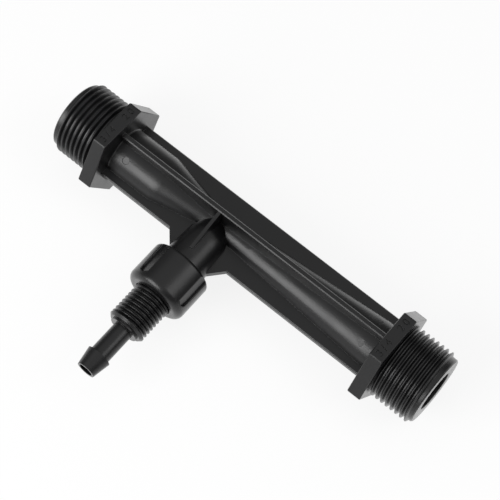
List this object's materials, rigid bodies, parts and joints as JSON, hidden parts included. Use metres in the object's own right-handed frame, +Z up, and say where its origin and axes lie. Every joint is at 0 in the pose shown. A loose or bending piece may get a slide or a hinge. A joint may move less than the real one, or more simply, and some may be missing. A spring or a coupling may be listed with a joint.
{
  "type": "venturi fertilizer injector",
  "caption": "Straight venturi injector with male pipe threads and spanner collars at its ends, and a side suction branch with a union nut, ball check valve and barbed hose nipple.",
  "frame": {"origin": "centre of the inlet mouth, on the flow axis", "axes": "+X along the flow from inlet to outlet, -Y down the suction branch, +Z up from the collar flats that it rests on"},
  "size_m": [0.15, 0.0828, 0.0306],
  "materials": {
    "black_plastic": "satin gloss moulded polypropylene",
    "seal_rubber": "matt moulded rubber",
    "ball_plastic": "polished acetal",
    "spring_steel": "drawn stainless wire"
  },
  "bodies": {
    "injector": {"injector_body": "black_plastic", "union_nut": "black_plastic", "suction_nipple": "black_plastic", "nipple_seal": "seal_rubber", "check_spring": "spring_steel"},
    "ball": {"check_ball": "ball_plastic"}
  },
  "joints": [
    {"name": "ball_lift", "type": "slide", "parent": "injector", "child": "ball", "axis": [0, 1, 0], "range_m": [0, 0.0022], "stiffness_N_per_m": 30, "springref_m": -0.004, "deforming": ["check_spring"]}
  ]
}
